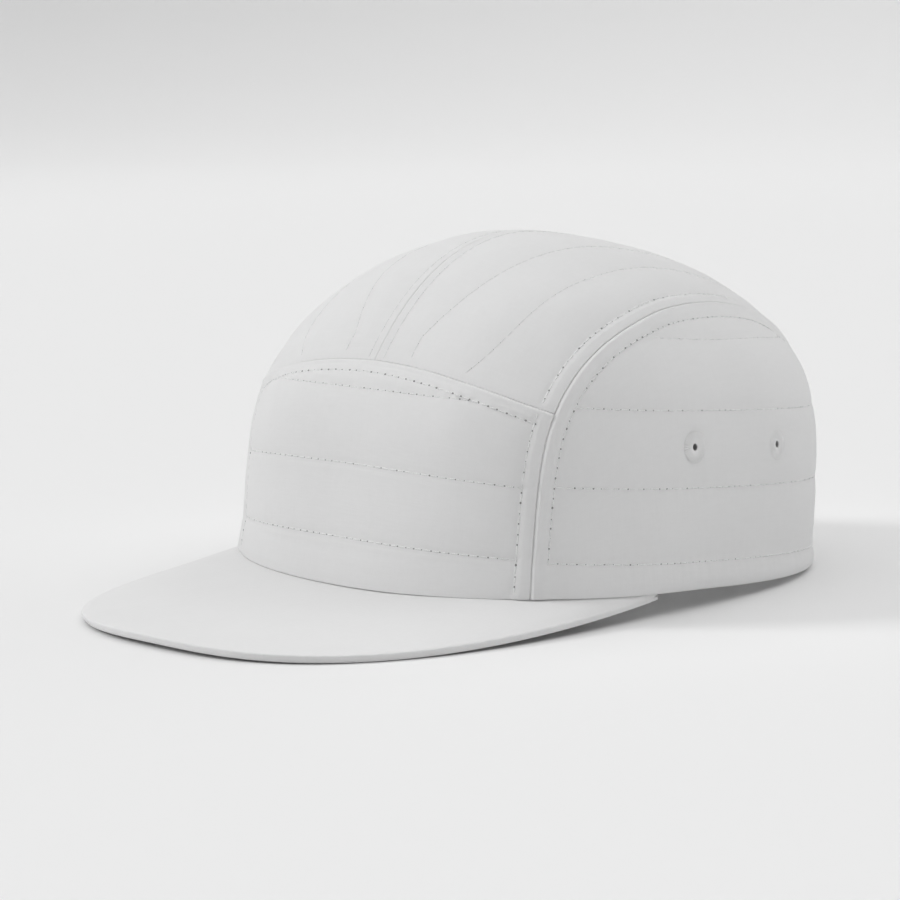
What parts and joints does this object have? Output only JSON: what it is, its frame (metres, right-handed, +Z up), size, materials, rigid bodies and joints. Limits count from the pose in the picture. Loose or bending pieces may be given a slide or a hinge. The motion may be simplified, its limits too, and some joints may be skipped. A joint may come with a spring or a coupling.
{
  "type": "five panel cap",
  "caption": "Flat-peaked cloth cap with a front panel, two top panels, two arched side panels and sewn eyelets, resting on its hem and peak.",
  "frame": {"origin": "on the surface that the cap rests on, under the middle of its box", "axes": "+Z up, the peak points towards -Y, +X towards the wearer's left, in metres"},
  "size_m": [0.1682, 0.2752, 0.1166],
  "materials": {
    "cloth": "matt fine plain weave, off-white",
    "peak_cloth": "the same cloth drawn smooth over a stiff board",
    "thread": "satin embroidery thread, off-white"
  },
  "bodies": {
    "root": {"front_panel": "cloth", "top_panel_left": "cloth", "top_panel_right": "cloth", "side_panel_left": "cloth", "side_panel_right": "cloth", "peak": "peak_cloth", "eyelet_left_front": "thread", "eyelet_left_back": "thread", "eyelet_right_front": "thread", "eyelet_right_back": "thread"}
  },
  "joints": []
}
